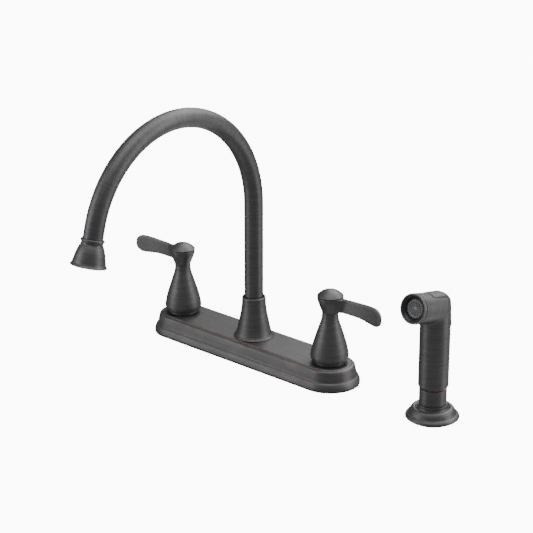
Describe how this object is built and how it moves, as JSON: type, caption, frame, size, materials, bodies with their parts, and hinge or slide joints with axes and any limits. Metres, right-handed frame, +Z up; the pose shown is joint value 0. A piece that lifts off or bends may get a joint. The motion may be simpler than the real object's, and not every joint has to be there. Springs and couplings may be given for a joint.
{
  "type": "two handle kitchen faucet",
  "caption": "Kitchen faucet with a high arched swivel spout on a long deck plate, a hot and a cold lever handle, and a lift-out side sprayer in its own deck holder.",
  "frame": {"origin": "on the deck face, on the spout's axis", "axes": "+X to the cold handle and the sprayer, -Y to the user, +Z up"},
  "size_m": [0.4231, 0.268, 0.3319],
  "materials": {
    "bronze_finish": "oil-rubbed bronze, satin, with worn copper edges",
    "brass": "machined",
    "steel": "brushed",
    "black_plastic": "matte",
    "black_rubber": "matte"
  },
  "bodies": {
    "base": {"deck_plate": "bronze_finish", "deck_gasket": "black_rubber", "waterway": "brass", "diverter": "black_plastic", "spray_outlet_nipple": "brass", "spout_cone": "bronze_finish", "spout_glide_ring": "black_plastic", "sprayer_holder": "bronze_finish", "holder_gasket": "black_rubber", "holder_nut": "black_plastic", "hot_valve_body": "brass", "cold_valve_body": "brass", "hot_cartridge": "black_plastic", "cold_cartridge": "black_plastic", "hot_bonnet_nut": "brass", "cold_bonnet_nut": "brass", "hot_lock_washer": "steel", "cold_lock_washer": "steel", "hot_lock_nut": "black_plastic", "cold_lock_nut": "black_plastic", "hot_foot_ring": "black_plastic", "cold_foot_ring": "black_plastic", "hot_bell": "bronze_finish", "cold_bell": "bronze_finish"},
    "hot_side": {"hot_handle": "bronze_finish", "hot_cap": "bronze_finish", "hot_handle_screw": "steel", "hot_stem": "brass"},
    "cold_side": {"cold_handle": "bronze_finish", "cold_cap": "bronze_finish", "cold_handle_screw": "steel", "cold_stem": "brass"},
    "spout": {"spout_tube": "bronze_finish", "spout_sleeve": "brass", "spout_seal_rings": "black_rubber", "spout_bell": "bronze_finish", "aerator_housing": "bronze_finish", "aerator_insert": "black_plastic"},
    "sprayer_base": {"sprayer_collar": "bronze_finish", "hose_inlet": "brass"},
    "sprayer": {"sprayer_body": "bronze_finish", "nozzle_ring": "bronze_finish", "spray_face": "black_plastic", "trigger_pin": "steel", "plunger_spring": "steel"},
    "spray_trigger": {"trigger": "bronze_finish"},
    "spray_plunger": {"valve_plunger": "black_plastic"}
  },
  "joints": [
    {"name": "hot_turn", "type": "hinge", "parent": "base", "child": "hot_side", "pos_m": [-0.1016, 0, 0.07], "axis": [0, 0, 1], "range_deg": [0, 90]},
    {"name": "cold_turn", "type": "hinge", "parent": "base", "child": "cold_side", "pos_m": [0.1016, 0, 0.07], "axis": [0, 0, 1], "range_deg": [-90, 0]},
    {"name": "spout_swivel", "type": "hinge", "parent": "base", "child": "spout", "pos_m": [0, 0, 0.03], "axis": [0, 0, 1], "range_deg": [-120, 120]},
    {"name": "sprayer_lift", "type": "slide", "parent": "base", "child": "sprayer_base", "axis": [0, 0, 1], "range_m": [0, 0.25]},
    {"name": "sprayer_turn", "type": "hinge", "parent": "sprayer_base", "child": "sprayer", "pos_m": [0.2294, 0, 0.036], "axis": [0, 0, 1], "continuous": true},
    {"name": "trigger_press", "type": "hinge", "parent": "sprayer", "child": "spray_trigger", "pos_m": [0.2294, 0, 0.1205], "axis": [-1, 0, 0], "range_deg": [0, 6], "stiffness_Nm_per_rad": 0.5, "springref_deg": -4.58},
    {"name": "plunger_slide", "type": "slide", "parent": "sprayer", "child": "spray_plunger", "axis": [0, -1, 0], "range_m": [0, 0.00173], "deforming": ["plunger_spring"]}
  ],
  "couplings": [
    {"joint": "plunger_slide", "follows": "trigger_press", "m_per_rad": 0.0165}
  ]
}
